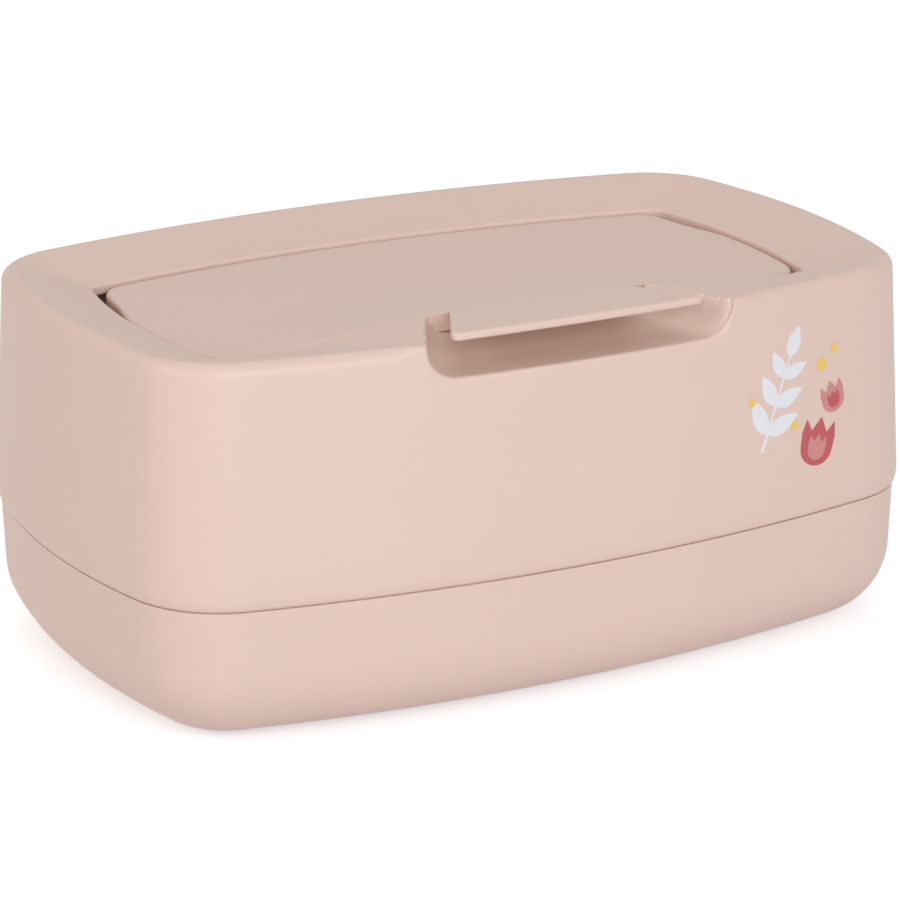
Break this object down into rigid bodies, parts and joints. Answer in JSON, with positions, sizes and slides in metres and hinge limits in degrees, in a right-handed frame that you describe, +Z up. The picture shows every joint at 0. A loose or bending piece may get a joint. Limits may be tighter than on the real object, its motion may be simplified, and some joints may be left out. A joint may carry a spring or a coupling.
{
  "type": "wipes box",
  "caption": "Low rectangular wipes box with bowed sides: a lift-off casing on a rounded base tray, a dished top, and a hinged flap with a finger tab over a scoop.",
  "frame": {"origin": "middle of the footprint, at the height of the surface it stands on", "axes": "+X along the box's length, to the right seen from the front; -Y towards the front with the finger tab; +Z up"},
  "size_m": [0.22, 0.141, 0.0969],
  "materials": {
    "shell": "satin moulded plastic, pale blush beige",
    "foot": "soft translucent grey silicone",
    "seal": "soft off-white silicone",
    "pin": "ground steel",
    "plate": "satin moulded plastic, off-white"
  },
  "bodies": {
    "base": {"base_tray": "shell", "anti_slip_feet": "foot"},
    "casing": {"top_casing": "shell", "hinge_pin_left": "pin", "hinge_pin_right": "pin"},
    "lid": {"flap_lid": "shell", "lid_seal": "seal"},
    "plate": {"press_plate": "plate"}
  },
  "joints": [
    {"name": "casing_lift", "type": "slide", "parent": "base", "child": "casing", "axis": [0, 0, 1], "range_m": [0, 0.08]},
    {"name": "lid_hinge", "type": "hinge", "parent": "casing", "child": "lid", "pos_m": [0, 0.0295, 0.0839], "axis": [-1, 0, 0], "range_deg": [0, 95]},
    {"name": "plate_slide", "type": "slide", "parent": "base", "child": "plate", "axis": [0, 0, 1], "range_m": [0, 0.045]}
  ]
}
